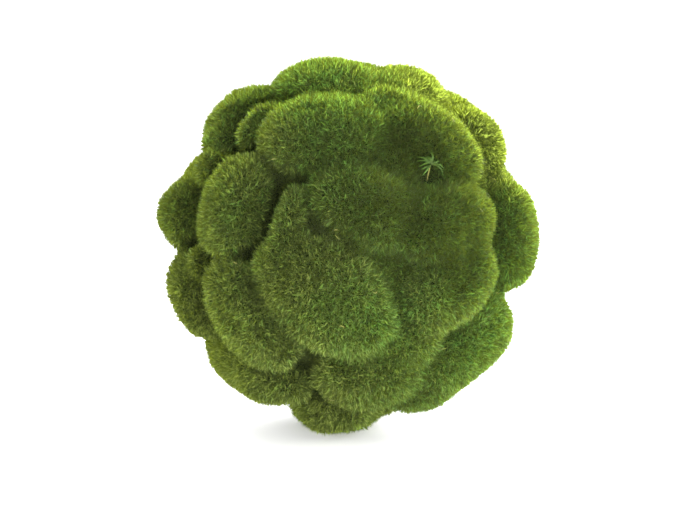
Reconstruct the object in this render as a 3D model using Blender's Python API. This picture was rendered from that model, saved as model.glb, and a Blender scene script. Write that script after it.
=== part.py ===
"""Moss clump: one rounded, free-standing clump of cushion moss at its real size.

Metres, +Z up. The origin is on the surface that the clump stands on, under its middle,
and the broad upper mound faces -Y. The clump grew as one piece, so it is one solid.
Its skin is the surface that the tips of the shoots reach: a round heart with the mounds
that the moss has grown into, which meet in creases, and a foot pressed flat.
"""

import math
from collections import namedtuple

import bmesh
import bpy
from mathutils import Matrix, Vector

MM = 0.001

# Driving dimensions, in millimetres.
CLUMP_RADIUS = 100.0  # middle of the clump to the crown of a full-sized mound
HEART_RADIUS = 0.83 * CLUMP_RADIUS  # the round body that shows at the bottom of the widest creases
STANDING_HEIGHT = 0.985 * CLUMP_RADIUS  # middle of the clump above the surface it stands on

# How the joined mounds are made into one skin.
VOXEL = 1.5
LUMP_SIZE = 14.0
LUMP_HEIGHT = 4.0  # from the lowest to the highest the uneven growth lifts the skin
CREASE_ROUNDING = 3  # smoothing passes, each about half a voxel deep
SKIN_TRIANGLES = 8600
MOUND_SUBDIVISIONS = 4

SHOOT_GREEN = (0.090, 0.175, 0.028, 1.0)

# One mound: where its crown lies, as degrees round from -Y towards +X and degrees up, its two
# half-widths where it leaves the heart, as degrees seen from the middle of the clump, the turn
# of the longer one from level, in degrees, and the height of its crown above that middle.
Mound = namedtuple("Mound", "name around up long short turn crown")

MOUNDS = (
    # The crown of the clump.
    Mound("crown_left", -26, 72.5, 21, 15, 0, 102.5),
    Mound("crown_right", 66, 68, 19, 14.5, -14, 100.5),
    Mound("brow", 24, 58, 15, 9, -6, 98.5),
    # The upper half of the front.
    Mound("upper_main", -12, 46.5, 22.5, 17, 3, 101.5),
    Mound("upper_right", 39, 43, 21.5, 16, -48, 100.5),
    Mound("upper_saddle", 21, 40, 16, 9.5, 80, 93),
    Mound("left_shoulder", -80, 49.5, 17, 13, 62, 102),
    Mound("left_shoulder_low", -71, 39, 9.5, 8, 70, 98),
    Mound("left_temple", -47, 49, 12, 6, 60, 97),
    Mound("left_small", -64, 30, 9, 8, 50, 97),
    Mound("right_shoulder", 79, 40, 16.5, 12, -62, 101.5),
    # The middle of the front.
    Mound("centre_left", 6, 20, 20, 14.5, -24, 99.5),
    Mound("centre_right", 34.5, 13, 20.5, 16, 6, 100.5),
    Mound("left_cheek", -43.5, 18, 18.5, 14.5, 80, 100.5),
    Mound("nose", -19.5, 12, 15, 7, 84, 97.5),
    Mound("left_flank", -79, 12.5, 14.5, 13, 80, 102),
    Mound("right_flank", 77, 5.5, 20.5, 16, 88, 102),
    # The lower half of the front.
    Mound("chin", -8, -10, 25.5, 18.5, -36, 101),
    Mound("left_lobe", -36, -18, 21.5, 15.5, -58, 101),
    Mound("left_lobe_top", -36, -5, 9, 7, -30, 98),
    Mound("lower_left_flank", -69, -15, 16.5, 11.5, -76, 101),
    Mound("left_fold", -60, -4, 8, 4, -80, 92.5),
    Mound("right_low", 37, -8, 20, 14.5, 32, 100),
    Mound("cheek_low_right", 22, -28, 13, 11, 20, 96.5),
    Mound("lower_right", 56, -33, 22.5, 15, 36, 103),
    Mound("bottom_lobe", 9, -42, 19, 14, 3, 102),
    Mound("under_left", -48, -45, 21, 12.5, -14, 100),
    Mound("under_right", 45, -51, 18, 11.5, 14, 101),
    # The upper half of the back.
    Mound("back_crown", 165, 70, 22, 14, 12, 99.5),
    Mound("back_shoulder_right", 110, 46, 21, 16, 42, 100.5),
    Mound("back_upper_right", 144, 40, 19, 12, -56, 98.5),
    Mound("back_upper", -178, 38, 23, 16, 14, 101),
    Mound("back_upper_left", -132, 45, 24, 17, -22, 100.5),
    Mound("back_temple", -156, 57, 14, 9, 30, 97.5),
    # The middle of the back.
    Mound("back_flank_right", 106, 12, 19, 13, 74, 99.5),
    Mound("back_right", 135, 7, 23, 17, -24, 100.5),
    Mound("back_middle", 171, 6, 22, 18, 22, 101),
    Mound("back_ridge", -164, 18, 16, 8, 55, 98),
    Mound("back_left", -141, 12, 23, 18, 62, 101),
    Mound("back_flank_left", -111, 16, 19, 14.5, 48, 99.5),
    # The lower half of the back.
    Mound("back_low_right", 121, -22, 20, 16, 28, 100),
    Mound("back_fold_right", 141, -10, 14, 7, -40, 97),
    Mound("back_low_middle", 153, -27, 23, 16, -34, 100),
    Mound("back_low", -169, -23, 19, 15, 70, 99.5),
    Mound("back_low_left", -136, -21, 23, 17, 24, 100.5),
    Mound("back_fold_left", -118, -2, 15, 8, -30, 97.5),
    Mound("back_low_flank_left", -101, -19, 18, 15, -62, 100),
    Mound("right_low_flank", 90, -35, 15, 11, 30, 98),
    # The underside, with the foot.
    Mound("under_back_left", -100, -47, 21, 16, -12, 99.5),
    Mound("under_back", -148, -53, 22, 16, 18, 100),
    Mound("under_back_right", 150, -56, 22, 16, -30, 99.5),
    Mound("under_flank_right", 98, -52, 19, 14, 20, 98.5),
    Mound("under_front", -14, -66, 17, 12, 10, 101),
    Mound("foot", -90, -86, 20.5, 17.5, 10, 102.5),
    Mound("under_middle", 135, -73, 17, 12, 45, 98),
)


def mound_placement(mound):
    """The matrix that turns a ball of radius 1 into this mound, half sunk in the heart."""
    around = math.radians(mound.around)
    up = math.radians(mound.up)
    outward = Vector((math.cos(up) * math.sin(around), -math.cos(up) * math.cos(around), math.sin(up)))
    level = Vector((math.cos(around), math.sin(around), 0))
    axes = Matrix((level, outward.cross(level), outward)).transposed().to_4x4()
    turn = Matrix.Rotation(math.radians(mound.turn), 4, "Z")
    half_long = HEART_RADIUS * math.tan(math.radians(mound.long))
    half_short = HEART_RADIUS * math.tan(math.radians(mound.short))
    size = Matrix.Diagonal((half_long, half_short, mound.crown - HEART_RADIUS, 1))
    return Matrix.Translation(outward * HEART_RADIUS) @ axes @ turn @ size


def mounds_mesh():
    """The heart and every mound as balls that run into each other, in millimetres made metres."""
    standing = Matrix.Scale(MM, 4) @ Matrix.Translation((0, 0, STANDING_HEIGHT))
    shapes = bmesh.new()
    placements = [Matrix.Scale(HEART_RADIUS, 4)] + [mound_placement(mound) for mound in MOUNDS]
    for placement in placements:
        bmesh.ops.create_icosphere(
            shapes, subdivisions=MOUND_SUBDIVISIONS, radius=1, matrix=standing @ placement)
    mesh = bpy.data.meshes.new("moss_clump")
    shapes.to_mesh(mesh)
    shapes.free()
    return mesh


def floor_cutter():
    """The block under the standing surface that presses the foot flat."""
    side = 3 * CLUMP_RADIUS * MM
    block = bmesh.new()
    bmesh.ops.create_cube(block, size=side, matrix=Matrix.Translation((0, 0, -side / 2)))
    mesh = bpy.data.meshes.new("standing_surface")
    block.to_mesh(mesh)
    block.free()
    cutter = bpy.data.objects.new("standing_surface", mesh)
    cutter.hide_render = True
    cutter.display_type = "WIRE"
    bpy.context.collection.objects.link(cutter)
    return cutter


def moss_material():
    """Living moss: dull green shoots with no shine."""
    material = bpy.data.materials.new("moss_shoots")
    material.use_nodes = True
    shader = material.node_tree.nodes["Principled BSDF"]
    shader.inputs["Base Color"].default_value = SHOOT_GREEN
    shader.inputs["Roughness"].default_value = 0.9
    shader.inputs["Metallic"].default_value = 0.0
    return material


def uneven_growth():
    """A soft, seeded unevenness, so that no mound is a perfect oval."""
    texture = bpy.data.textures.new("uneven_growth", "CLOUDS")
    texture.noise_scale = LUMP_SIZE * MM
    texture.noise_depth = 1
    return texture


def moss_clump():
    """The clump: the mounds joined into one skin, their creases rounded, and the foot cut flat."""
    clump = bpy.data.objects.new("moss_clump", mounds_mesh())
    bpy.context.collection.objects.link(clump)
    skin = clump.modifiers.new("one skin", "REMESH")
    skin.mode = "VOXEL"
    skin.voxel_size = VOXEL * MM
    skin.use_smooth_shade = True
    lumps = clump.modifiers.new("uneven growth", "DISPLACE")
    lumps.texture = uneven_growth()
    lumps.texture_coords = "LOCAL"
    lumps.strength = LUMP_HEIGHT * MM
    rounding = clump.modifiers.new("crease rounding", "SMOOTH")
    rounding.iterations = CREASE_ROUNDING
    rounding.factor = 0.5
    fewer = clump.modifiers.new("fewer triangles", "DECIMATE")
    fewer.ratio = SKIN_TRIANGLES / triangles_before(clump)
    fewer.use_collapse_triangulate = True
    foot = clump.modifiers.new("flat foot", "BOOLEAN")
    foot.operation = "DIFFERENCE"
    foot.solver = "EXACT"
    foot.object = floor_cutter()
    clump.data.materials.append(moss_material())
    return clump


def triangles_before(clump):
    """How many triangles the skin has before it is thinned; the thinning is not yet set."""
    fewer = clump.modifiers["fewer triangles"]
    fewer.show_viewport = False
    evaluated = clump.evaluated_get(bpy.context.evaluated_depsgraph_get())
    count = sum(len(face.vertices) - 2 for face in evaluated.data.polygons)
    fewer.show_viewport = True
    return count


def main():
    for leftover in list(bpy.data.objects):
        bpy.data.objects.remove(leftover)
    moss_clump()


if __name__ == "__main__":
    main()
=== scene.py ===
"""Moss clump: the looks of one rounded, free-standing clump of cushion moss.

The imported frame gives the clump's skin, which is where the tips of the shoots lie. This script
draws that skin in to the bed that the shoots grow from, grows the pile of shoots over it, adds
the one star shoot and the dry fibres that have caught on the pile, and sets up a plain pale studio.
Metres throughout, +Z up, with the front of the clump towards -Y.
"""

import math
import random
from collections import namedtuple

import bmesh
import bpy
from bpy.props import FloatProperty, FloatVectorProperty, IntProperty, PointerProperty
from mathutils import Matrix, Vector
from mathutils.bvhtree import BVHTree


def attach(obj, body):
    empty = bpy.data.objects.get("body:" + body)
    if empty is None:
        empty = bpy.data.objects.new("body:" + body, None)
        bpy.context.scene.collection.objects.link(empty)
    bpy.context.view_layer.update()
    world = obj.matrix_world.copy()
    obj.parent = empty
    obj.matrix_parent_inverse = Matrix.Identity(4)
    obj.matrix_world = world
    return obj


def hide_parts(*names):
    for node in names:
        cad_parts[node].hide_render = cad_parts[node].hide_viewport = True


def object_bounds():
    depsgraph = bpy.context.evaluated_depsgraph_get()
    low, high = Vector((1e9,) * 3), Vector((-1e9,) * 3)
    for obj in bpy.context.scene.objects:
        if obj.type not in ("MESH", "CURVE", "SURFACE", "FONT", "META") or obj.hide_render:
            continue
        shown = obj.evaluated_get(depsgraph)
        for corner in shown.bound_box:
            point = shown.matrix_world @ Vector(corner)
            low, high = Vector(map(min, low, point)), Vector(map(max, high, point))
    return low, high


bl_info = {
    "name": "Moss Clump",
    "version": (1, 0, 0),
    "blender": (4, 5, 0),
    "location": "View3D > Sidebar > Moss Clump",
    "description": "Makes the bed, the pile and the studio of a rounded clump of cushion moss",
    "category": "Object",
}

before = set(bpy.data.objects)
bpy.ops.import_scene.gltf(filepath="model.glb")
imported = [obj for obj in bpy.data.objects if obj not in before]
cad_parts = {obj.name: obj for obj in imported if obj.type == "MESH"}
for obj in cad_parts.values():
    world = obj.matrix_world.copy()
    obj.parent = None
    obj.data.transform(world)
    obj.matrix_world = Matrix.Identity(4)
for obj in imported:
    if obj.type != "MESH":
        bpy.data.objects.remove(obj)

CAD_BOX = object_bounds()
LOWEST, HIGHEST = CAD_BOX
BODY = "root"
NODE = "moss_clump"

# The middle of the clump, from which each way around it is told.
MIDDLE = Vector((0, 0, (LOWEST.z + HIGHEST.z) / 2))

# The pile is made in six pieces. The sides are named by the way they face, going round from -Y
# towards +X, and the crown and the foot take over where the skin slopes more than ZONE_SLOPE.
SIDES = ("front", "right", "back", "left")
ZONES = SIDES + ("crown", "foot")
ZONE_SLOPE = math.radians(45)
MOST_TRIANGLES = 200_000

# The map of every blade: its tone lies across, and the painted light and shade that it catches, from
# its root to its tip, lies along. MAP_MARGIN keeps blades off the map's edges, and each is
# BLADE_TONES wide on it.
SHOOT_MAP = "OFBake"
MAP_MARGIN = 0.02
BLADE_TONES = 0.01
SHOOTS = "living_moss_shoots"

# The bed. Between the two places of CREASE_FADE along X its creases go from crisp to soft, and they
# paint shade on the pile by LEAST_CREASE_SHADE or more of their depth, even where they are soft.
CREASE_FADE = (LOWEST.x / 3, HIGHEST.x / 2)
LEAST_CREASE_SHADE = 0.3
MERGE_DISTANCE = 1e-6
FELT_SPREAD = (0.35, 0.68)  # the values of the felt's noise that are a gap and a stem

# The sizes of the shoots. A pair is a lowest and a highest value, mostly as a share of the typical
# one, and CREASE_LENGTH and HOLLOW_LENGTH are the shares at the bottom of a crease or the hollow.
NOISE_SPREAD = (0.3, 0.7)  # where nearly all the values of a noise lie
TUFT_LENGTHS = (0.94, 1.04)
OWN_LENGTHS = (0.55, 1.2)
OWN_WIDTHS = (0.7, 1.3)
OWN_CURLS = (0.0, 0.55)  # how far a tip curls over, as a share of the shoot's length
CREASE_SHORTENING = (-0.0009, -0.0001)  # heights over the ground around, in metres
CREASE_LENGTH = 0.45
HOLLOW_LENGTH = 0.12
STANDING_HEIGHTS = (0.0002, 0.0016)  # no shoot reaches below its own one of these, in metres

# The tones of the shoots, from 0 for dry through olive and green to 1 for this year's shoots. The
# young side's and the crown's are added at the heart of a patch that reaches as far as its edge.
# The crown's is painted light, and the young side's is partly younger shoots and partly painted
# light from the upper right: both make the shoots yellower and lighter.
PATCH_TONES = (0.40, 0.58)
FRESH_WAY = (0.8, 0.0, 0.6)
SIDE_TONES = (-0.24, 0.2)  # added to the tone, from facing away from FRESH_WAY to facing it
MOTTLE = (-0.04, 0.04)
OWN_TONES = (-0.12, 0.12)
YOUNG_EDGE = math.radians(40)
YOUNG_AND_LIT_TONE = 0.36
# Painted light on the young side, as a share of the light.
YOUNG_PAINTED_LIGHT = 1.1
CROWN_WAY = Vector((0, -0.26, 0.97))
CROWN_EDGE = math.radians(38)
CROWN_LIT_TONE = 0.22
# Painted light on the crown, as a share of the light.
CROWN_PAINTED_LIGHT = 1.25

# How light the shoots are, as shares of the light that a shoot catches in the open. It is painted
# into their colour: painted shade in creases and on shoots that face up, and each shoot's own
# share differs by chance.
# Painted shade in creases: a shoot this far below the ground around is darkened to the first light, and one
# this far above keeps all its light.
CREASE_SHADING = (-0.0009, 0.0002)  # heights over the ground around, in metres
CREASE_PAINTED_LIGHTS = (0.1, 1.0)
OWN_LIGHTS = (0.12, 1.15)
DARK_SHOOTS = 1.7  # above 1, more of the shoots are dark than light
RISES = (-0.45, 0.15)  # the upward part of the way out of the middle, which is 1 at the top
# Painted shade by the way a shoot faces: the light of a shoot that faces down, and of one that faces up.
RISE_PAINTED_LIGHTS = (1.0, 0.8)

# The way that light comes through a shoot: the share of its glow that has the colour of light
# through young leaves, at its root and at its tip. The rest has the shoot's own colour.
ROOT_GLOW = 0.45
TIP_GLOW = 0.85

# Patches of painted shade, whose share of the light is under 1, and of painted light, whose share
# is over 1. Each is told in degrees round from the front, up, and from its heart to its edge.
Patch = namedtuple("Patch", "around up edge share")
PAINTED_LIGHT_PATCHES = (
    Patch(37, 22, 38, 0.72),
    Patch(24, 38, 13, 0.78),
    Patch(2, 17, 12, 0.92),
    Patch(-36, -20, 24, 0.92),
    Patch(8, -14, 30, 1.22),
    Patch(56, -30, 24, 1.18),
)

# Every blade of the star and every fibre: its width where it ends, as a share of its widest part,
# and how much of its swelling it skips at its foot.
BLADE_END = 0.1
BLADE_FOOT = 0.15

# The star. Its stalk stands a little below its head, which rises over the bed by STAR_RISE piles.
STALK_DROP = math.radians(3.5)
STALK_BOW = 0.0004
STALK_STEPS = 4
# Painted light along the stalk, darker at its foot.
STALK_LIGHTS = (0.35, 0.65)
STAR_RISE = 1.9
LEAF_STEPS = 5
LEAF_SHIFT = 0.3  # how far a leaf may stand from its even place, as a share of the gap
LEAF_LENGTHS = (0.7, 1.1)
LEAF_LIFTS = (-0.1, 0.5)
LEAF_DROOP = 0.25
LEAF_TONES = (0.62, 0.8)
# Low painted light along each leaf, darker at its foot.
LEAF_LIGHTS = (0.2, 0.46)

# The dry fibres.
FIBRE_STEPS = 5
FIBRE_RISES = (-0.8, 0.95)  # the upward part of the way out to a fibre
FIBRE_LENGTHS = (0.5, 1.2)
FIBRE_BENDS = (-0.3, 0.3)
FIBRE_LIFTS = (0.0, 0.25)
FIBRE_HEIGHTS = (0.92, 0.98)  # shares of the height of the pile
FIBRE_TONES = (MAP_MARGIN, 0.12)
# Painted light along each fibre, darker at its first end.
FIBRE_LIGHTS = (0.2, 0.85)

# The room. The softboxes face the middle of the clump, and the room is brighter low down.
Softbox = namedtuple("Softbox", "name place width height power")
SOFTBOXES = (
    Softbox("top_softbox", (0.1, 0.7, 1.0), 0.8, 0.6, 70),
    Softbox("right_softbox", (0.9, 1.0, 0.5), 0.6, 0.7, 54),
    Softbox("low_right_softbox", (1.1, 0.5, 0.15), 0.5, 0.3, 16),
    Softbox("low_left_softbox", (-1.1, 0.4, 0.14), 0.5, 0.28, 12),
    Softbox("front_softbox", (0.35, -1.1, 0.08), 1.3, 0.12, 56),
)
ROOM_STRENGTHS = (2.4, 1.4)  # from level to straight up
SWEEP_HALF_WIDTH = 3.0
SWEEP_FRONT = -3.0
SWEEP_BEND_START = 1.2
SWEEP_BEND_RADIUS = 0.8
SWEEP_BEND_STEPS = 16
SWEEP_TOP = 3.0
AIM_RIGHT = 0.0008  # the camera aims this far to the right of the clump's middle
AIM_BELOW = 0.0089  # and this far below it
SENSOR_WIDTH = 36.0


def linear(code):
    """The linear colour of an sRGB hex value such as #4F7D22, with full alpha."""
    parts = [int(code[start:start + 2], 16) / 255 for start in (1, 3, 5)]
    return (*(part / 12.92 if part <= 0.04045 else ((part + 0.055) / 1.055) ** 2.4 for part in parts), 1.0)


def add_node(tree, kind, inputs=None, **settings):
    """Adds a node with its settings. An input given as a socket is linked, and any other is set."""
    node = tree.nodes.new(kind)
    for name, value in settings.items():
        setattr(node, name, value)
    for key, value in (inputs or {}).items():
        if isinstance(value, bpy.types.NodeSocket):
            tree.links.new(value, node.inputs[key])
        else:
            node.inputs[key].default_value = value
    return node


def span(end, limits):
    """A lowest and a highest value as the two inputs at one end of a Map Range, From or To."""
    return {f"{end} Min": limits[0], f"{end} Max": limits[1]}


def set_inputs(modifier, values):
    """Sets a Geometry Nodes modifier's inputs, given by the names that the tree shows."""
    sockets = {item.name: item.identifier for item in modifier.node_group.interface.items_tree
               if item.in_out == "INPUT"}
    for name, value in values.items():
        modifier[sockets[name]] = value


class MossBedSettings(bpy.types.PropertyGroup):
    """The bed of old, matted moss that the shoots grow from."""

    pile_height: FloatProperty(
        name="Pile height", description="How far the bed lies under the tips of the shoots",
        default=0.0038, unit="LENGTH")
    grain: FloatProperty(
        name="Grain", description="Edge of the bed's faces", default=0.0015, unit="LENGTH")
    crease_reach: IntProperty(
        name="Crease reach", description="How many faces to each side a crease is told from", default=14)
    crease_gain: FloatProperty(
        name="Crease gain", description="How much deeper a crease is made", default=0.75)
    shallow_side: FloatProperty(
        name="Shallow side",
        description="Share of the added depth towards +X; below zero the creases are filled in",
        default=-0.6, min=-1.0, max=1.0)
    felt_colour: FloatVectorProperty(
        name="Felt", description="Dead, matted stems", subtype="COLOR", size=4,
        default=linear("#1B2409"))
    shade_colour: FloatVectorProperty(
        name="Shade", description="Gaps between the stems", subtype="COLOR", size=4,
        default=linear("#0E1306"))
    felt_size: FloatProperty(
        name="Felt size", description="Width of a matted strand, drawn coarse enough to show",
        default=0.0012, unit="LENGTH")


class MossPileSettings(bpy.types.PropertyGroup):
    """The green shoots."""

    shoots: IntProperty(
        name="Shoots", description="Number of shoots over the whole clump", default=950_000)
    length: FloatProperty(
        name="Length", description="Typical length of a shoot", default=0.0043, unit="LENGTH")
    width: FloatProperty(
        name="Width", description="Widest part of a shoot", default=0.00032, unit="LENGTH")
    translucence: FloatProperty(
        name="Translucence", description="Share of the light that comes through a shoot",
        default=0.22, subtype="FACTOR", min=0.0, max=1.0)
    lean: FloatProperty(
        name="Lean", description="How far single shoots lean out of line", default=1.4)
    tuft_lean: FloatProperty(
        name="Tuft lean", description="How far neighbouring shoots lean the same way", default=0.16)
    tuft_size: FloatProperty(
        name="Tuft size", description="Distance between shoots that lean differently",
        default=0.0035, unit="LENGTH")
    # The young side is also where painted light is added to the shoots.
    young_around: FloatProperty(
        name="Young around", description="How far round from the front the young side lies",
        default=math.radians(82), subtype="ANGLE")
    young_up: FloatProperty(
        name="Young up", description="How far up the young side lies", default=math.radians(42),
        subtype="ANGLE")
    patch_size: FloatProperty(
        name="Patch size", description="Width of a patch of olive or of fresh green",
        default=0.045, unit="LENGTH")
    seed: IntProperty(name="Seed", description="Picks where the shoots stand", default=7)
    # The darker foot of a shoot, and the colour that painted shade darkens a shoot towards.
    root_and_shade_colour: FloatVectorProperty(
        name="Root", description="Foot of a shoot", subtype="COLOR", size=4,
        default=linear("#20260E"))
    dry_colour: FloatVectorProperty(
        name="Dry", description="The few shoots that have dried", subtype="COLOR", size=4,
        default=linear("#A8A25E"))
    olive_colour: FloatVectorProperty(
        name="Olive", description="Older shoots", subtype="COLOR", size=4,
        default=linear("#6E7B39"))
    green_colour: FloatVectorProperty(
        name="Green", description="Most shoots", subtype="COLOR", size=4,
        default=linear("#527F35"))
    fresh_colour: FloatVectorProperty(
        name="Fresh", description="Fresher shoots", subtype="COLOR", size=4,
        default=linear("#609038"))
    # Partly this year's shoots and partly painted light: the lightest tone, which the young side and the
    # crown reach.
    young_and_lit_colour: FloatVectorProperty(
        name="Young", description="This year's shoots, on the side that gets the most light",
        subtype="COLOR", size=4, default=linear("#B2C84C"))
    light_colour: FloatVectorProperty(
        name="Light through", description="Light that comes through a shoot", subtype="COLOR",
        size=4, default=linear("#B2C822"))


class MossStarSettings(bpy.types.PropertyGroup):
    """The one taller shoot whose leaves spread in a star, and the hollow that it stands in."""

    around: FloatProperty(
        name="Around", description="How far round from the front, towards +X",
        default=math.radians(29.7), subtype="ANGLE")
    up: FloatProperty(
        name="Up", description="How far up, seen from the middle of the clump",
        default=math.radians(30.5), subtype="ANGLE")
    leaves: IntProperty(name="Leaves", description="Leaves of the star", default=14)
    fan: FloatProperty(
        name="Fan", description="How far round the leaves spread; the rest, over the stalk, stays open",
        default=math.radians(255), subtype="ANGLE")
    leaf_length: FloatProperty(
        name="Leaf length", description="Typical length of a leaf", default=0.0078, unit="LENGTH")
    leaf_width: FloatProperty(
        name="Leaf width", description="Widest part of a leaf", default=0.0008, unit="LENGTH")
    stalk_width: FloatProperty(
        name="Stalk width", description="Width of the bare stalk", default=0.00055, unit="LENGTH")
    hollow_size: FloatProperty(
        name="Hollow", description="How far the short shoots reach round the stalk's foot",
        default=0.009, unit="LENGTH")
    seed: IntProperty(name="Seed", description="Picks how uneven the leaves are", default=3)


class MossBitsSettings(bpy.types.PropertyGroup):
    """The dry, broken-off fibres that have caught on the pile."""

    bits: IntProperty(name="Fibres", description="Number of fibres", default=70)
    length: FloatProperty(
        name="Length", description="Typical length of a fibre", default=0.0052, unit="LENGTH")
    width: FloatProperty(
        name="Width", description="Widest part of a fibre, drawn wide enough to show",
        default=0.0004, unit="LENGTH")
    seed: IntProperty(name="Seed", description="Picks where the fibres lie", default=21)


class MossStudioSettings(bpy.types.PropertyGroup):
    """The floor, the lights and the camera."""

    camera_distance: FloatProperty(
        name="Camera distance", description="From the point that the camera aims at",
        default=0.870, unit="LENGTH")
    camera_elevation: FloatProperty(
        name="Camera elevation", description="How far the camera looks down",
        default=math.radians(8), subtype="ANGLE")
    lens: FloatProperty(name="Lens", description="Focal length", default=85.0, unit="CAMERA")
    paper_colour: FloatVectorProperty(
        name="Paper", description="Seamless studio paper", subtype="COLOR", size=4,
        default=linear("#F4F4F4"))


def new_object(name, mesh):
    """An object in the scene, at the origin, unturned and unscaled."""
    thing = bpy.data.objects.new(name, mesh)
    bpy.context.scene.collection.objects.link(thing)
    return thing


def finished_mesh(thing, name):
    """The object's mesh with its modifiers applied; the object itself is removed."""
    graph = bpy.context.evaluated_depsgraph_get()
    mesh = bpy.data.meshes.new_from_object(thing.evaluated_get(graph), depsgraph=graph)
    mesh.name = name
    bpy.data.objects.remove(thing)
    return mesh


def add_piece(name, mesh):
    """A finished piece of the clump, at the origin, that rides with the frame."""
    piece = new_object(name, mesh)
    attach(piece, BODY)
    return piece


def direction(around, up):
    """The way so far round from the front and so far up, from the clump's middle."""
    return Vector((math.cos(up) * math.sin(around), -math.cos(up) * math.cos(around), math.sin(up)))


def point_on(thing, outward):
    """The outermost point of a piece along a way out of the clump's middle, and its normal."""
    surface = BVHTree.FromObject(thing, bpy.context.evaluated_depsgraph_get())
    far = MIDDLE + outward * (HIGHEST - LOWEST).length
    return surface.ray_cast(far, -outward)[:2]


def star_foot(star):
    """The way from the clump's middle to the foot of the star's stalk, just below the star."""
    return direction(star.around, star.up - STALK_DROP)


# Materials


def felt_material(settings):
    """Matted moss felt: dead stems that have grown and settled into each other.

    The eye sees a dark, dull and softly fibrous ground in the gaps between the shoots.
    """
    material = bpy.data.materials.new("matted_moss_felt")
    material.use_nodes = True
    tree = material.node_tree
    shader = tree.nodes["Principled BSDF"]
    place = add_node(tree, "ShaderNodeTexCoord").outputs["Object"]
    strands = add_node(tree, "ShaderNodeTexNoise", {
        "Vector": place, "Scale": 1 / settings.felt_size, "Detail": 3.0, "Distortion": 1.5})
    contrast = add_node(tree, "ShaderNodeMapRange", {
        "Value": strands.outputs["Fac"], **span("From", FELT_SPREAD)})
    colour = add_node(tree, "ShaderNodeMix", {
        0: contrast.outputs["Result"], 6: settings.shade_colour, 7: settings.felt_colour},
        data_type="RGBA")
    bump = add_node(tree, "ShaderNodeBump", {
        "Height": strands.outputs["Fac"], "Distance": settings.felt_size / 2, "Strength": 0.7})
    tree.links.new(colour.outputs[2], shader.inputs["Base Color"])
    tree.links.new(bump.outputs["Normal"], shader.inputs["Normal"])
    shader.inputs["Roughness"].default_value = 1.0
    shader.inputs["Specular IOR Level"].default_value = 0.1
    return material


def shoot_material(settings):
    """Living moss shoots: soft leaves that have grown so thin that light comes through them.

    The eye sees dull greens that glow yellow-green with the light behind. The shoot map's
    first number is the tone of the whole shoot, from dry through olive and green to young,
    and its second is painted light, going from the dark root, which is partly painted shade deep
    in the pile, to the fully lit tip.
    """
    material = bpy.data.materials.new(SHOOTS)
    material.use_nodes = True
    tree = material.node_tree
    shader = tree.nodes["Principled BSDF"]
    shader.inputs["Roughness"].default_value = 0.7
    shader.inputs["Specular IOR Level"].default_value = 0.12
    where = add_node(tree, "ShaderNodeUVMap", uv_map=SHOOT_MAP).outputs["UV"]
    parts = add_node(tree, "ShaderNodeSeparateXYZ", {"Vector": where})
    tone, along = parts.outputs["X"], parts.outputs["Y"]
    tones = add_node(tree, "ShaderNodeValToRGB", {"Fac": tone})
    stops = ((0.04, settings.dry_colour), (0.10, settings.olive_colour), (0.35, settings.olive_colour),
             (0.60, settings.green_colour), (0.80, settings.fresh_colour), (0.97, settings.young_and_lit_colour))
    ramp = tones.color_ramp.elements
    while len(ramp) < len(stops):
        ramp.new(0.5)
    for element, (position, colour) in zip(ramp, stops):
        element.position = position
        element.color = colour
    # Darker towards the root: partly the shoot's own darker foot, partly painted shade deep in the pile.
    above_root = add_node(tree, "ShaderNodeMapRange", {
        "Value": along, "From Min": 0.1, "From Max": 1.0}, interpolation_type="SMOOTHSTEP")
    colour = add_node(tree, "ShaderNodeMix", {
        0: above_root.outputs["Result"], 6: settings.root_and_shade_colour, 7: tones.outputs["Color"]},
        data_type="RGBA").outputs[2]
    thin = add_node(tree, "ShaderNodeMath", {
        0: above_root.outputs["Result"], 1: TIP_GLOW - ROOT_GLOW, 2: ROOT_GLOW},
        operation="MULTIPLY_ADD")
    through = add_node(tree, "ShaderNodeMix", {
        0: thin.outputs[0], 6: colour, 7: settings.light_colour}, data_type="RGBA").outputs[2]
    glow = add_node(tree, "ShaderNodeBsdfTranslucent", {"Color": through})
    both = add_node(tree, "ShaderNodeMixShader", {
        0: settings.translucence, 1: shader.outputs["BSDF"], 2: glow.outputs["BSDF"]})
    tree.links.new(colour, shader.inputs["Base Color"])
    tree.links.new(both.outputs["Shader"], tree.nodes["Material Output"].inputs["Surface"])
    return material


def paper_material(settings):
    """Seamless studio paper: pressed from pulp, so the eye sees an even, matt white."""
    material = bpy.data.materials.new("studio_paper")
    material.use_nodes = True
    tree = material.node_tree
    shader = tree.nodes["Principled BSDF"]
    shader.inputs["Base Color"].default_value = settings.paper_colour
    shader.inputs["Roughness"].default_value = 0.9
    shader.inputs["Specular IOR Level"].default_value = 0.1
    return material


# The bed


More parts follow.
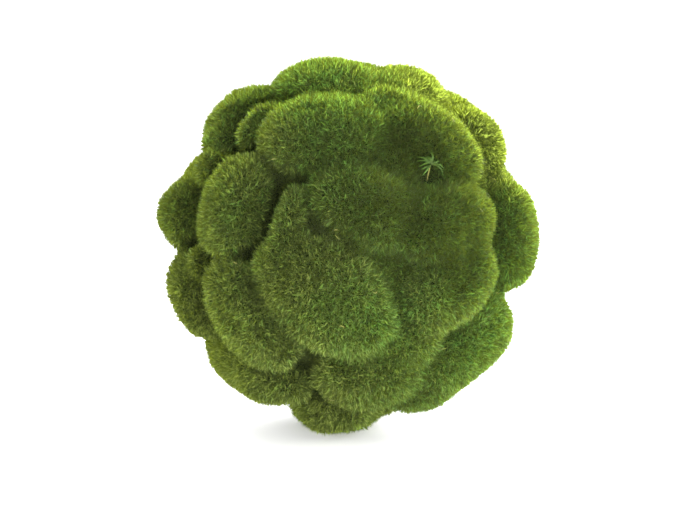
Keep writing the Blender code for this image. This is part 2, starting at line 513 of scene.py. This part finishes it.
def crease_tree():
    """Geometry Nodes that deepen each crease of the bed and lift the mounds beside it.

    The bed's "height" is how far a point stands above the ground around it, and is below
    zero in a crease.
    """
    tree = bpy.data.node_groups.new("crisp_creases", "GeometryNodeTree")
    tree.interface.new_socket("Bed", in_out="INPUT", socket_type="NodeSocketGeometry")
    tree.interface.new_socket("Reach", in_out="INPUT", socket_type="NodeSocketInt")
    tree.interface.new_socket("Gain", in_out="INPUT", socket_type="NodeSocketFloat")
    tree.interface.new_socket("Shallow side", in_out="INPUT", socket_type="NodeSocketFloat")
    tree.interface.new_socket("Crisp bed", in_out="OUTPUT", socket_type="NodeSocketGeometry")
    given = add_node(tree, "NodeGroupInput").outputs
    place = add_node(tree, "GeometryNodeInputPosition").outputs["Position"]
    around = add_node(tree, "GeometryNodeBlurAttribute", {
        "Value": place, "Iterations": given["Reach"]}, data_type="FLOAT_VECTOR")
    above = add_node(tree, "ShaderNodeVectorMath", {
        0: place, 1: around.outputs["Value"]}, operation="SUBTRACT").outputs[0]
    outward = add_node(tree, "GeometryNodeInputNormal").outputs["Normal"]
    sideways = add_node(tree, "ShaderNodeSeparateXYZ", {"Vector": place})
    depth = add_node(tree, "ShaderNodeMapRange", {
        "Value": sideways.outputs["X"], **span("From", CREASE_FADE),
        **span("To", (1.0, given["Shallow side"]))}, interpolation_type="SMOOTHSTEP")
    # The height that the pile reads for its painted crease shade and its short shoots keeps this share of a
    # crease's depth or more.
    shade = add_node(tree, "ShaderNodeMath", {
        0: depth.outputs["Result"], 1: LEAST_CREASE_SHADE}, operation="MAXIMUM")
    rise = add_node(tree, "ShaderNodeVectorMath", {0: above, 1: outward}, operation="DOT_PRODUCT")
    height = add_node(tree, "ShaderNodeMath", {
        0: rise.outputs["Value"], 1: shade.outputs[0]}, operation="MULTIPLY")
    marked = add_node(tree, "GeometryNodeStoreNamedAttribute", {
        "Geometry": given["Bed"], "Name": "height", "Value": height.outputs[0]},
        data_type="FLOAT", domain="POINT")
    share = add_node(tree, "ShaderNodeMath", {
        0: depth.outputs["Result"], 1: given["Gain"]}, operation="MULTIPLY")
    more = add_node(tree, "ShaderNodeVectorMath", {
        0: above, "Scale": share.outputs[0]}, operation="SCALE")
    crisp = add_node(tree, "GeometryNodeSetPosition", {
        "Geometry": marked.outputs["Geometry"], "Offset": more.outputs[0]})
    add_node(tree, "NodeGroupOutput", {"Crisp bed": crisp.outputs["Geometry"]})
    return tree


def drawn_in_bed(settings):
    """The frame's skin drawn in by the height of the pile, in even faces, with crisp creases.

    It is made even twice, because drawing it in crowds the faces of the mounds.
    """
    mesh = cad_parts[NODE].data.copy()
    skin = bmesh.new()
    skin.from_mesh(mesh)
    bmesh.ops.remove_doubles(skin, verts=skin.verts, dist=MERGE_DISTANCE)
    skin.to_mesh(mesh)
    skin.free()
    mesh.materials.clear()
    bed = new_object("bed_shape", mesh)
    for draw_in in (settings.pile_height, 0.0):
        even = bed.modifiers.new("even faces", "REMESH")
        even.mode = "VOXEL"
        even.voxel_size = settings.grain
        soft = bed.modifiers.new("soft skin", "SMOOTH")
        soft.factor = 0.5
        soft.iterations = 1
        if draw_in:
            inward = bed.modifiers.new("draw in", "DISPLACE")
            inward.mid_level = 0.0
            inward.strength = -draw_in
    creases = bed.modifiers.new("crisp creases", "NODES")
    creases.node_group = crease_tree()
    set_inputs(creases, {
        "Reach": settings.crease_reach, "Gain": settings.crease_gain,
        "Shallow side": settings.shallow_side})
    bed_mesh = finished_mesh(bed, "moss_bed")
    bed_mesh.shade_smooth()
    return bed_mesh


def number_zones(mesh):
    """Gives each face of the bed the number of the zone that it lies in."""
    zone = mesh.attributes.new("zone", "INT", "FACE")
    for face in mesh.polygons:
        outward = (face.center - MIDDLE).normalized()
        slope = math.asin(outward.z)
        if abs(slope) > ZONE_SLOPE:
            name = "crown" if slope > 0 else "foot"
        else:
            quarter = round(math.atan2(outward.x, -outward.y) / math.radians(90)) % len(SIDES)
            name = SIDES[quarter]
        zone.data[face.index].value = ZONES.index(name)


class MOSSCLUMP_OT_bed(bpy.types.Operator):
    """Make the bed of matted moss under the pile"""

    bl_idname = "moss_clump.bed"
    bl_label = "Bed"

    def execute(self, context):
        settings = context.scene.moss_bed
        mesh = drawn_in_bed(settings)
        number_zones(mesh)
        mesh.materials.append(felt_material(settings))
        bed = add_piece("moss_bed", mesh)
        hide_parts(NODE)
        return {"FINISHED"}


# The pile


def shoot_mesh():
    """One shoot as a single face that is widest halfway up and leans over at its tip.

    It is 1 wide and 1 high, so that a shoot's own width, curl and length scale it. "across"
    and "along" are each corner's place across the shoot and its share of the tip's painted light,
    which paints shade towards the root.
    """
    corners = ((0, 0, 0), (1, 0.25, 0.5), (0, 1, 1))
    across = (0.0, 1.0, 0.0)
    along = (0.0, 0.68, 1.0)
    mesh = bpy.data.meshes.new("one_shoot")
    mesh.from_pydata(corners, [], [(0, 1, 2)])
    for name, values in (("across", across), ("along", along)):
        numbers = mesh.attributes.new(name, "FLOAT", "POINT")
        for number, value in zip(numbers.data, values):
            number.value = value
    return mesh


def lobe(tree, outward, towards, edge, at_edge, at_heart):
    """A number that changes smoothly from the edge to the heart of a round patch of the clump."""
    nearness = add_node(tree, "ShaderNodeVectorMath", {0: outward, 1: towards}, operation="DOT_PRODUCT")
    return add_node(tree, "ShaderNodeMapRange", {
        "Value": nearness.outputs["Value"], "From Min": math.cos(edge), "From Max": 1.0,
        "To Min": at_edge, "To Max": at_heart}, interpolation_type="SMOOTHSTEP").outputs["Result"]


def shoot_turn(tree, given, normal, tufts):
    """Which way each shoot leans: neighbours share a lean, and each has more of its own."""
    tuft_way = add_node(tree, "ShaderNodeVectorMath", {
        0: tufts.outputs["Color"], 1: (0.5, 0.5, 0.5)}, operation="SUBTRACT")
    tuft_lean = add_node(tree, "ShaderNodeVectorMath", {
        0: tuft_way.outputs[0], "Scale": given["Tuft lean"]}, operation="SCALE")
    own_way = add_node(tree, "FunctionNodeRandomValue", {
        0: (-1, -1, -1), 1: (1, 1, 1), "Seed": 11}, data_type="FLOAT_VECTOR")
    own_lean = add_node(tree, "ShaderNodeVectorMath", {
        0: own_way.outputs[0], "Scale": given["Lean"]}, operation="SCALE")
    leaning = add_node(tree, "ShaderNodeVectorMath", {
        0: tuft_lean.outputs[0], 1: own_lean.outputs[0]}, operation="ADD")
    upright = add_node(tree, "ShaderNodeVectorMath", {
        0: normal, 1: leaning.outputs[0]}, operation="ADD")
    aimed = add_node(tree, "FunctionNodeAlignRotationToVector", {"Vector": upright.outputs[0]}, axis="Z")
    spin = add_node(tree, "FunctionNodeRandomValue", {
        2: 0.0, 3: math.tau, "Seed": 12}, data_type="FLOAT")
    spin_turn = add_node(tree, "FunctionNodeAxisAngleToRotation", {
        "Axis": (0, 0, 1), "Angle": spin.outputs[1]})
    return add_node(tree, "FunctionNodeRotateRotation", {
        0: aimed.outputs[0], 1: spin_turn.outputs[0]}, rotation_space="LOCAL").outputs[0]


def shoot_size(tree, given, place, height, tufts):
    """How wide, curled and long each shoot is: uneven, and short in creases and in the hollow."""
    in_tuft = add_node(tree, "ShaderNodeMapRange", {
        "Value": tufts.outputs["Fac"], **span("From", NOISE_SPREAD), **span("To", TUFT_LENGTHS)})
    own = add_node(tree, "FunctionNodeRandomValue", {
        2: OWN_LENGTHS[0], 3: OWN_LENGTHS[1], "Seed": 13}, data_type="FLOAT")
    out_of_crease = add_node(tree, "ShaderNodeMapRange", {
        "Value": height, **span("From", CREASE_SHORTENING), **span("To", (CREASE_LENGTH, 1.0))})
    from_hollow = add_node(tree, "ShaderNodeVectorMath", {
        0: place, 1: given["Hollow"]}, operation="DISTANCE")
    out_of_hollow = add_node(tree, "ShaderNodeMapRange", {
        "Value": from_hollow.outputs["Value"], **span("From", (0.0, given["Hollow size"])),
        **span("To", (HOLLOW_LENGTH, 1.0))}, interpolation_type="SMOOTHSTEP")
    length = in_tuft.outputs["Result"]
    for share in (own.outputs[1], out_of_crease.outputs["Result"], out_of_hollow.outputs["Result"],
                  given["Length"]):
        length = add_node(tree, "ShaderNodeMath", {0: length, 1: share}, operation="MULTIPLY").outputs[0]
    thick = add_node(tree, "FunctionNodeRandomValue", {
        2: OWN_WIDTHS[0], 3: OWN_WIDTHS[1], "Seed": 14}, data_type="FLOAT")
    width = add_node(tree, "ShaderNodeMath", {
        0: thick.outputs[1], 1: given["Width"]}, operation="MULTIPLY")
    curl = add_node(tree, "FunctionNodeRandomValue", {
        2: OWN_CURLS[0], 3: OWN_CURLS[1], "Seed": 15}, data_type="FLOAT")
    curled = add_node(tree, "ShaderNodeMath", {0: curl.outputs[1], 1: length}, operation="MULTIPLY")
    return add_node(tree, "ShaderNodeCombineXYZ", {
        "X": width.outputs[0], "Y": curled.outputs[0], "Z": length}).outputs["Vector"]


def shoot_tone(tree, given, place, outward, tufts):
    """Each shoot's tone: by patch, by the side that it grows on, by tuft and by chance, and yellower
    and lighter on the crown, which is painted light, and on the young side, which is partly younger
    shoots and partly painted light.
    """
    patch_scale = add_node(tree, "ShaderNodeMath", {0: 1.0, 1: given["Patch size"]}, operation="DIVIDE")
    patches = add_node(tree, "ShaderNodeTexNoise", {
        "Vector": place, "Scale": patch_scale.outputs[0], "Detail": 2.0})
    patch_tone = add_node(tree, "ShaderNodeMapRange", {
        "Value": patches.outputs["Fac"], **span("From", NOISE_SPREAD), **span("To", PATCH_TONES)})
    towards_fresh = add_node(tree, "ShaderNodeVectorMath", {
        0: outward, 1: FRESH_WAY}, operation="DOT_PRODUCT")
    side_tone = add_node(tree, "ShaderNodeMapRange", {
        "Value": towards_fresh.outputs["Value"], **span("From", (-1.0, 1.0)), **span("To", SIDE_TONES)})
    mottle = add_node(tree, "ShaderNodeMapRange", {
        "Value": tufts.outputs["Fac"], **span("From", NOISE_SPREAD), **span("To", MOTTLE)})
    own_tone = add_node(tree, "FunctionNodeRandomValue", {
        2: OWN_TONES[0], 3: OWN_TONES[1], "Seed": 16}, data_type="FLOAT")
    tone = patch_tone.outputs["Result"]
    for part in (side_tone.outputs["Result"],
                 # A yellower, lighter tone on the young side and the crown: painted light, and on the young
                 # side partly younger shoots.
                 lobe(tree, outward, given["Young side"], YOUNG_EDGE, 0.0, YOUNG_AND_LIT_TONE),
                 lobe(tree, outward, CROWN_WAY, CROWN_EDGE, 0.0, CROWN_LIT_TONE),
                 mottle.outputs["Result"], own_tone.outputs[1]):
        tone = add_node(tree, "ShaderNodeMath", {0: tone, 1: part}, operation="ADD").outputs[0]
    return add_node(tree, "ShaderNodeClamp", {
        "Value": tone, "Min": MAP_MARGIN, "Max": 1 - MAP_MARGIN}).outputs["Result"]


def painted_shoot_light(tree, given, outward, height):
    """How much painted light each shoot has, up to 1: less in creases, in shaded patches and facing up,
    more in lit patches, on the crown and on the young side, and some by chance.
    """
    luck = add_node(tree, "FunctionNodeRandomValue", {2: 0.0, 3: 1.0, "Seed": 18}, data_type="FLOAT")
    own_luck = add_node(tree, "ShaderNodeMath", {
        0: luck.outputs[1], 1: DARK_SHOOTS}, operation="POWER")
    own_light = add_node(tree, "ShaderNodeMapRange", {
        "Value": own_luck.outputs[0], **span("From", (0.0, 1.0)), **span("To", OWN_LIGHTS)})
    # Painted shade: the deeper a shoot stands in a crease, the darker it is.
    crease_painted_shade = add_node(tree, "ShaderNodeMapRange", {
        "Value": height, **span("From", CREASE_SHADING), **span("To", CREASE_PAINTED_LIGHTS)})
    # Painted shade on the shoots that face up, so that those that face down stay lighter.
    rising = add_node(tree, "ShaderNodeSeparateXYZ", {"Vector": outward})
    rise_painted_light = add_node(tree, "ShaderNodeMapRange", {
        "Value": rising.outputs["Z"], **span("From", RISES), **span("To", RISE_PAINTED_LIGHTS)},
        interpolation_type="SMOOTHSTEP")
    shares = [own_light.outputs["Result"], rise_painted_light.outputs["Result"]]
    # Painted shade in the darker patches and painted light in the lighter ones.
    for patch in PAINTED_LIGHT_PATCHES:
        way = direction(math.radians(patch.around), math.radians(patch.up))
        shares.append(lobe(tree, outward, way, math.radians(patch.edge), 1.0, patch.share))
    # Painted light on the crown and on the young side.
    shares.append(lobe(tree, outward, CROWN_WAY, CROWN_EDGE, 1.0, CROWN_PAINTED_LIGHT))
    shares.append(lobe(tree, outward, given["Young side"], YOUNG_EDGE, 1.0, YOUNG_PAINTED_LIGHT))
    light = crease_painted_shade.outputs["Result"]
    for share in shares:
        light = add_node(tree, "ShaderNodeMath", {0: light, 1: share}, operation="MULTIPLY").outputs[0]
    return add_node(tree, "ShaderNodeMath", {0: light, 1: 1.0}, operation="MINIMUM").outputs[0]


def pressed_flat(tree, shoots):
    """The shoots pressed flat where the clump stands on them, each to a height of its own."""
    corner = add_node(tree, "ShaderNodeSeparateXYZ", {
        "Vector": add_node(tree, "GeometryNodeInputPosition").outputs["Position"]})
    lowest = add_node(tree, "GeometryNodeInputNamedAttribute", {"Name": "rest"}, data_type="FLOAT")
    held_up = add_node(tree, "ShaderNodeMath", {
        0: corner.outputs["Z"], 1: lowest.outputs["Attribute"]}, operation="MAXIMUM")
    pressed = add_node(tree, "ShaderNodeCombineXYZ", {
        "X": corner.outputs["X"], "Y": corner.outputs["Y"], "Z": held_up.outputs[0]})
    return add_node(tree, "GeometryNodeSetPosition", {
        "Geometry": shoots, "Position": pressed.outputs["Vector"]}).outputs["Geometry"]


def on_shoot_map(tree, shoots):
    """The shoots with their map, on which each has a width so that no face of it is a line."""
    named = {name: add_node(tree, "GeometryNodeInputNamedAttribute", {"Name": name}, data_type="FLOAT")
             for name in ("tone", "across", "along", "light")}
    across = add_node(tree, "ShaderNodeMath", {
        0: named["across"].outputs["Attribute"], 1: BLADE_TONES, 2: named["tone"].outputs["Attribute"]},
        operation="MULTIPLY_ADD")
    # The painted light is multiplied into each corner's place along the map.
    lit = add_node(tree, "ShaderNodeMath", {
        0: named["along"].outputs["Attribute"], 1: named["light"].outputs["Attribute"]},
        operation="MULTIPLY")
    along = add_node(tree, "ShaderNodeMath", {
        0: lit.outputs[0], 1: 1 - 2 * MAP_MARGIN, 2: MAP_MARGIN}, operation="MULTIPLY_ADD")
    spot = add_node(tree, "ShaderNodeCombineXYZ", {"X": across.outputs[0], "Y": along.outputs[0]})
    return add_node(tree, "GeometryNodeStoreNamedAttribute", {
        "Geometry": shoots, "Name": SHOOT_MAP, "Value": spot.outputs["Vector"]},
        data_type="FLOAT2", domain="CORNER").outputs["Geometry"]


def pile_tree():
    """Geometry Nodes that grow shoots all over one zone of the bed."""
    tree = bpy.data.node_groups.new("moss_pile", "GeometryNodeTree")
    for name, kind in (
            ("Bed", "Geometry"), ("Shoot", "Object"), ("Zone", "Int"), ("Shoots per area", "Float"),
            ("Length", "Float"), ("Width", "Float"), ("Lean", "Float"), ("Tuft lean", "Float"),
            ("Tuft size", "Float"), ("Patch size", "Float"), ("Young side", "Vector"), ("Hollow", "Vector"),
            ("Hollow size", "Float"), ("Seed", "Int"), ("Finish", "Material")):
        tree.interface.new_socket(name, in_out="INPUT", socket_type="NodeSocket" + kind)
    tree.interface.new_socket("Pile", in_out="OUTPUT", socket_type="NodeSocketGeometry")
    given = add_node(tree, "NodeGroupInput").outputs

    # Where the shoots stand.
    zone = add_node(tree, "GeometryNodeInputNamedAttribute", {"Name": "zone"}, data_type="INT")
    in_zone = add_node(tree, "FunctionNodeCompare", {2: zone.outputs["Attribute"], 3: given["Zone"]},
                       data_type="INT", operation="EQUAL")
    stood = add_node(tree, "GeometryNodeDistributePointsOnFaces", {
        "Mesh": given["Bed"], "Selection": in_zone.outputs["Result"],
        "Density": given["Shoots per area"], "Seed": given["Seed"]})

    # What a shoot's looks are told from: its place, its height in the creases and its tuft.
    place = add_node(tree, "GeometryNodeInputPosition").outputs["Position"]
    from_middle = add_node(tree, "ShaderNodeVectorMath", {0: place, 1: tuple(MIDDLE)}, operation="SUBTRACT")
    outward = add_node(tree, "ShaderNodeVectorMath", {
        0: from_middle.outputs[0]}, operation="NORMALIZE").outputs[0]
    height = add_node(tree, "GeometryNodeInputNamedAttribute", {
        "Name": "height"}, data_type="FLOAT").outputs["Attribute"]
    tuft_scale = add_node(tree, "ShaderNodeMath", {0: 1.0, 1: given["Tuft size"]}, operation="DIVIDE")
    tufts = add_node(tree, "ShaderNodeTexNoise", {
        "Vector": place, "Scale": tuft_scale.outputs[0], "Detail": 1.0})
    pressed_to = add_node(tree, "FunctionNodeRandomValue", {
        2: STANDING_HEIGHTS[0], 3: STANDING_HEIGHTS[1], "Seed": 17}, data_type="FLOAT")
    points = stood.outputs["Points"]
    for name, value in (
            ("tone", shoot_tone(tree, given, place, outward, tufts)),
            ("light", painted_shoot_light(tree, given, outward, height)),
            ("rest", pressed_to.outputs[1])):
        points = add_node(tree, "GeometryNodeStoreNamedAttribute", {
            "Geometry": points, "Name": name, "Value": value},
            data_type="FLOAT", domain="POINT").outputs["Geometry"]

    # One shoot on each point, as real mesh.
    shoot = add_node(tree, "GeometryNodeObjectInfo", {"Object": given["Shoot"]}, transform_space="ORIGINAL")
    grown = add_node(tree, "GeometryNodeInstanceOnPoints", {
        "Points": points, "Instance": shoot.outputs["Geometry"],
        "Rotation": shoot_turn(tree, given, stood.outputs["Normal"], tufts),
        "Scale": shoot_size(tree, given, place, height, tufts)})
    real = add_node(tree, "GeometryNodeRealizeInstances", {"Geometry": grown.outputs["Instances"]})
    standing = pressed_flat(tree, real.outputs["Geometry"])
    finished = add_node(tree, "GeometryNodeSetMaterial", {
        "Geometry": on_shoot_map(tree, standing), "Material": given["Finish"]})
    add_node(tree, "NodeGroupOutput", {"Pile": finished.outputs["Geometry"]})
    return tree


class MOSSCLUMP_OT_pile(bpy.types.Operator):
    """Grow the pile of green shoots all over the bed"""

    bl_idname = "moss_clump.pile"
    bl_label = "Pile"

    def execute(self, context):
        settings = context.scene.moss_pile
        star = context.scene.moss_star
        bed = bpy.data.objects["moss_bed"]
        area = sum(face.area for face in bed.data.polygons)
        hollow = point_on(bed, star_foot(star))[0]
        young_side = direction(settings.young_around, settings.young_up)
        template = new_object("one_shoot", shoot_mesh())
        finish = shoot_material(settings)
        tree = pile_tree()
        for number, zone in enumerate(ZONES):
            grower = new_object("pile_grower", bed.data.copy())
            growth = grower.modifiers.new("pile", "NODES")
            growth.node_group = tree
            set_inputs(growth, {
                "Shoot": template, "Zone": number, "Shoots per area": settings.shoots / area,
                "Length": settings.length, "Width": settings.width, "Lean": settings.lean,
                "Tuft lean": settings.tuft_lean, "Tuft size": settings.tuft_size,
                "Patch size": settings.patch_size, "Young side": young_side, "Hollow": hollow,
                "Hollow size": star.hollow_size, "Seed": settings.seed, "Finish": finish})
            mesh = finished_mesh(grower, f"moss_pile_{zone}")
            if len(mesh.polygons) > MOST_TRIANGLES:
                raise RuntimeError(f"{mesh.name} has {len(mesh.polygons)} triangles")
            add_piece(mesh.name, mesh)
        bpy.data.objects.remove(template)
        return {"FINISHED"}


# The star shoot and the dry fibres


def add_blade(blades, spine, width, sideways, tone, lights):
    """Adds one thin blade along a spine of points, full in its middle and pointed at its end.

    Its tone lies across the shoot map, and its two painted lights, at its foot and at its end,
    lie along.
    """
    shoot_map = blades.loops.layers.uv.get(SHOOT_MAP) or blades.loops.layers.uv.new(SHOOT_MAP)
    rows = []
    for index, point in enumerate(spine):
        along = index / (len(spine) - 1)
        swelling = math.sin(math.pi * (BLADE_FOOT + (1 - BLADE_FOOT) * along))
        half = sideways * width / 2 * (BLADE_END + (1 - BLADE_END) * swelling)
        rows.append((along, blades.verts.new(point - half), blades.verts.new(point + half)))
    for (low, left, right), (high, far_left, far_right) in zip(rows, rows[1:]):
        face = blades.faces.new((left, right, far_right, far_left))
        places = ((tone, low), (tone + BLADE_TONES, low), (tone + BLADE_TONES, high), (tone, high))
        for loop, (across, along) in zip(face.loops, places):
            light = lights[0] + (lights[1] - lights[0]) * along
            loop[shoot_map].uv = (across, MAP_MARGIN + light * (1 - 2 * MAP_MARGIN))


def blades_mesh(name, blades, finish):
    """The blades as one mesh of one material."""
    mesh = bpy.data.meshes.new(name)
    blades.to_mesh(mesh)
    blades.free()
    mesh.materials.append(finish)
    return mesh


class MOSSCLUMP_OT_star(bpy.types.Operator):
    """Grow the one taller shoot that spreads its leaves in a star"""

    bl_idname = "moss_clump.star"
    bl_label = "Star shoot"

    def execute(self, context):
        star = context.scene.moss_star
        chance = random.Random(star.seed)
        bed = bpy.data.objects["moss_bed"]
        foot = point_on(bed, star_foot(star))[0]
        outward = direction(star.around, star.up)
        head = point_on(bed, outward)[0] + outward * context.scene.moss_bed.pile_height * STAR_RISE
        level = outward.cross(Vector((0, 0, 1))).normalized()
        rising = level.cross(outward)
        blades = bmesh.new()
        for sideways in (level, level.cross(head - foot).normalized()):
            spine = []
            for step in range(STALK_STEPS + 1):
                along = step / STALK_STEPS
                spine.append(foot.lerp(head, along) + rising * STALK_BOW * math.sin(math.pi * along))
            add_blade(blades, spine, star.stalk_width, sideways, MAP_MARGIN, STALK_LIGHTS)
        for leaf in range(star.leaves):
            share = (leaf + chance.uniform(-LEAF_SHIFT, LEAF_SHIFT)) / (star.leaves - 1)
            turn = math.radians(90) + star.fan * (share - 0.5)
            spread = level * math.cos(turn) + rising * math.sin(turn)
            length = star.leaf_length * chance.uniform(*LEAF_LENGTHS)
            lift = chance.uniform(*LEAF_LIFTS)
            spine = []
            for step in range(LEAF_STEPS + 1):
                along = step / LEAF_STEPS
                height = lift * math.sin(math.pi * along) - LEAF_DROOP * along ** 2
                spine.append(head + spread * length * along + outward * length * height)
            sideways = outward.cross(spread).normalized()
            add_blade(blades, spine, star.leaf_width, sideways, chance.uniform(*LEAF_TONES), LEAF_LIGHTS)
        mesh = blades_mesh("star_shoot", blades, bpy.data.materials[SHOOTS])
        add_piece("star_shoot", mesh)
        return {"FINISHED"}


class MOSSCLUMP_OT_bits(bpy.types.Operator):
    """Lay the dry, broken-off fibres on the pile"""

    bl_idname = "moss_clump.bits"
    bl_label = "Dry fibres"

    def execute(self, context):
        settings = context.scene.moss_bits
        chance = random.Random(settings.seed)
        pile = context.scene.moss_bed.pile_height
        surface = BVHTree.FromObject(bpy.data.objects["moss_bed"], context.evaluated_depsgraph_get())
        far = (HIGHEST - LOWEST).length
        blades = bmesh.new()
        for _ in range(settings.bits):
            around = chance.uniform(-math.pi, math.pi)
            outward = direction(around, math.asin(chance.uniform(*FIBRE_RISES)))
            place, normal = surface.ray_cast(MIDDLE + outward * far, -outward)[:2]
            turn = chance.uniform(0, math.tau)
            level = normal.orthogonal().normalized()
            way = level * math.cos(turn) + normal.cross(level) * math.sin(turn)
            sideways = normal.cross(way)
            length = settings.length * chance.uniform(*FIBRE_LENGTHS)
            bend = chance.uniform(*FIBRE_BENDS)
            lift = chance.uniform(*FIBRE_LIFTS)
            spine = []
            for step in range(FIBRE_STEPS + 1):
                along = step / FIBRE_STEPS
                spine.append(place + normal * pile * chance.uniform(*FIBRE_HEIGHTS)
                             + way * length * (along - 0.5)
                             + sideways * length * bend * math.sin(math.pi * along)
                             + normal * length * lift * math.sin(math.pi * along))
            tone = chance.uniform(*FIBRE_TONES)
            add_blade(blades, spine, settings.width, sideways, tone, FIBRE_LIGHTS)
        mesh = blades_mesh("dry_fibres", blades, bpy.data.materials[SHOOTS])
        add_piece("dry_fibres", mesh)
        return {"FINISHED"}


# The studio


def paper_sweep(settings):
    """Seamless paper: a level floor that curves up into a wall behind, as one sheet."""
    profile = [(SWEEP_FRONT, 0.0), (SWEEP_BEND_START, 0.0)]
    for step in range(1, SWEEP_BEND_STEPS + 1):
        turn = math.radians(90) * step / SWEEP_BEND_STEPS
        profile.append((SWEEP_BEND_START + SWEEP_BEND_RADIUS * math.sin(turn),
                        SWEEP_BEND_RADIUS * (1 - math.cos(turn))))
    profile.append((SWEEP_BEND_START + SWEEP_BEND_RADIUS, SWEEP_TOP))
    sheet = bmesh.new()
    left, right = [[sheet.verts.new((side, y, z)) for y, z in profile]
                   for side in (-SWEEP_HALF_WIDTH, SWEEP_HALF_WIDTH)]
    for index in range(len(profile) - 1):
        sheet.faces.new((left[index], right[index], right[index + 1], left[index + 1]))
    mesh = bpy.data.meshes.new("paper_sweep")
    sheet.to_mesh(mesh)
    sheet.free()
    mesh.shade_smooth()
    mesh.materials.append(paper_material(settings))
    sweep = new_object("paper_sweep", mesh)


def add_softbox(softbox):
    """A softbox that faces the middle of the clump."""
    light = bpy.data.lights.new(softbox.name, "AREA")
    light.shape = "RECTANGLE"
    light.size = softbox.width
    light.size_y = softbox.height
    light.energy = softbox.power
    lamp = new_object(softbox.name, light)
    lamp.location = softbox.place
    lamp.rotation_euler = (lamp.location - MIDDLE).to_track_quat("Z", "Y").to_euler()


def studio_world():
    """White light from all round, as in a white room, brighter from low down than from above."""
    world = bpy.data.worlds.new("white_room")
    world.use_nodes = True
    sky = world.node_tree.nodes["Background"]
    sky.inputs["Color"].default_value = linear("#FFFFFF")
    way = add_node(world.node_tree, "ShaderNodeTexCoord").outputs["Generated"]
    upward = add_node(world.node_tree, "ShaderNodeSeparateXYZ", {"Vector": way}).outputs["Z"]
    strength = add_node(world.node_tree, "ShaderNodeMapRange", {
        "Value": upward, **span("From", (0.0, 1.0)), **span("To", ROOM_STRENGTHS)})
    world.node_tree.links.new(strength.outputs["Result"], sky.inputs["Strength"])
    bpy.context.scene.world = world


def studio_camera(settings):
    """A camera in front of the clump, a little above it."""
    lens = bpy.data.cameras.new("camera")
    lens.lens = settings.lens
    lens.sensor_width = SENSOR_WIDTH
    camera = new_object("camera", lens)
    back = Vector((0, -math.cos(settings.camera_elevation), math.sin(settings.camera_elevation)))
    above = Vector((0, math.sin(settings.camera_elevation), math.cos(settings.camera_elevation)))
    aim = MIDDLE + Vector((AIM_RIGHT, 0, 0)) - above * AIM_BELOW
    camera.location = aim + back * settings.camera_distance
    camera.rotation_euler = back.to_track_quat("Z", "Y").to_euler()
    bpy.context.scene.camera = camera


class MOSSCLUMP_OT_studio(bpy.types.Operator):
    """Set up the paper sweep, the lights and the camera"""

    bl_idname = "moss_clump.studio"
    bl_label = "Studio"

    def execute(self, context):
        settings = context.scene.moss_studio
        paper_sweep(settings)
        studio_world()
        for softbox in SOFTBOXES:
            add_softbox(softbox)
        studio_camera(settings)
        context.scene.view_settings.view_transform = "Standard"
        return {"FINISHED"}


class MOSSCLUMP_PT_panel(bpy.types.Panel):
    """The clump's settings and the buttons that make its pieces"""

    bl_idname = "MOSSCLUMP_PT_panel"
    bl_label = "Moss Clump"
    bl_space_type = "VIEW_3D"
    bl_region_type = "UI"
    bl_category = "Moss Clump"

    def draw(self, context):
        for settings_name, operator in (
                ("moss_bed", MOSSCLUMP_OT_bed), ("moss_pile", MOSSCLUMP_OT_pile),
                ("moss_star", MOSSCLUMP_OT_star), ("moss_bits", MOSSCLUMP_OT_bits),
                ("moss_studio", MOSSCLUMP_OT_studio)):
            box = self.layout.box()
            settings = getattr(context.scene, settings_name)
            for name in settings.bl_rna.properties.keys():
                if name not in ("rna_type", "name"):
                    box.prop(settings, name)
            box.operator(operator.bl_idname)


SETTINGS = {
    "moss_bed": MossBedSettings, "moss_pile": MossPileSettings, "moss_star": MossStarSettings,
    "moss_bits": MossBitsSettings, "moss_studio": MossStudioSettings}
OPERATORS = (
    MOSSCLUMP_OT_bed, MOSSCLUMP_OT_pile, MOSSCLUMP_OT_star, MOSSCLUMP_OT_bits, MOSSCLUMP_OT_studio)


def register():
    for settings_name, group in SETTINGS.items():
        bpy.utils.register_class(group)
        setattr(bpy.types.Scene, settings_name, PointerProperty(type=group))
    for operator in OPERATORS:
        bpy.utils.register_class(operator)
    bpy.utils.register_class(MOSSCLUMP_PT_panel)


def unregister():
    bpy.utils.unregister_class(MOSSCLUMP_PT_panel)
    for operator in reversed(OPERATORS):
        bpy.utils.unregister_class(operator)
    for settings_name, group in reversed(SETTINGS.items()):
        delattr(bpy.types.Scene, settings_name)
        bpy.utils.unregister_class(group)


def main():
    register()
    bpy.ops.moss_clump.bed()
    bpy.ops.moss_clump.pile()
    bpy.ops.moss_clump.star()
    bpy.ops.moss_clump.bits()
    bpy.ops.moss_clump.studio()


if __name__ == "__main__":
    main()
